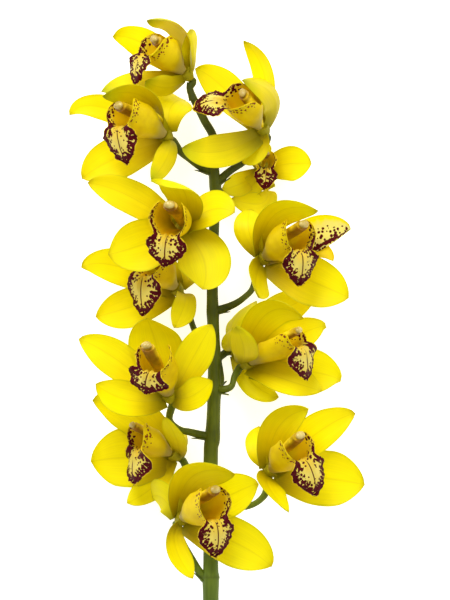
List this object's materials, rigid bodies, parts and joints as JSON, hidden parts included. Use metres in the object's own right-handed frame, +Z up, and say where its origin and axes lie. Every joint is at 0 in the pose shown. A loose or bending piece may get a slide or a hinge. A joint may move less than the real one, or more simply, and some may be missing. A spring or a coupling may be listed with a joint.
{
  "type": "cut cymbidium orchid stem",
  "caption": "Cut orchid stem with yellow open flowers, each with a spotted lip, column and anther cap, lying on its back with its flowers facing up.",
  "frame": {"origin": "centre of the bounding box in plan, at the surface that the stem lies on", "axes": "+Y along the stem from its cut end to its top flower, +X to the picture's right, +Z up, the way the flowers face"},
  "size_m": [0.186, 0.452, 0.0878],
  "materials": {
    "stem": "semi-gloss plant skin",
    "tepals": "satin waxy petal",
    "lip": "satin waxy petal, maroon spotted",
    "column": "satin waxy",
    "anther_cap": "satin waxy"
  },
  "bodies": {
    "root": {"stem": "stem", "bloom_01_tepals": "tepals", "bloom_01_lip": "lip", "bloom_01_column": "column", "bloom_01_anther_cap": "anther_cap", "bloom_02_tepals": "tepals", "bloom_02_lip": "lip", "bloom_02_column": "column", "bloom_02_anther_cap": "anther_cap", "bloom_03_tepals": "tepals", "bloom_03_lip": "lip", "bloom_03_column": "column", "bloom_03_anther_cap": "anther_cap", "bloom_04_tepals": "tepals", "bloom_04_lip": "lip", "bloom_04_column": "column", "bloom_04_anther_cap": "anther_cap", "bloom_05_tepals": "tepals", "bloom_05_lip": "lip", "bloom_05_column": "column", "bloom_05_anther_cap": "anther_cap", "bloom_06_tepals": "tepals", "bloom_06_lip": "lip", "bloom_06_column": "column", "bloom_06_anther_cap": "anther_cap", "bloom_07_tepals": "tepals", "bloom_07_lip": "lip", "bloom_07_column": "column", "bloom_07_anther_cap": "anther_cap", "bloom_08_tepals": "tepals", "bloom_08_lip": "lip", "bloom_08_column": "column", "bloom_08_anther_cap": "anther_cap", "bloom_09_tepals": "tepals", "bloom_09_lip": "lip", "bloom_09_column": "column", "bloom_09_anther_cap": "anther_cap", "bloom_10_tepals": "tepals", "bloom_10_lip": "lip", "bloom_10_column": "column", "bloom_10_anther_cap": "anther_cap", "bloom_11_tepals": "tepals", "bloom_11_lip": "lip", "bloom_11_column": "column", "bloom_11_anther_cap": "anther_cap", "bloom_12_tepals": "tepals", "bloom_12_lip": "lip", "bloom_12_column": "column", "bloom_12_anther_cap": "anther_cap", "bloom_13_tepals": "tepals", "bloom_13_lip": "lip", "bloom_13_column": "column", "bloom_13_anther_cap": "anther_cap"}
  },
  "joints": []
}
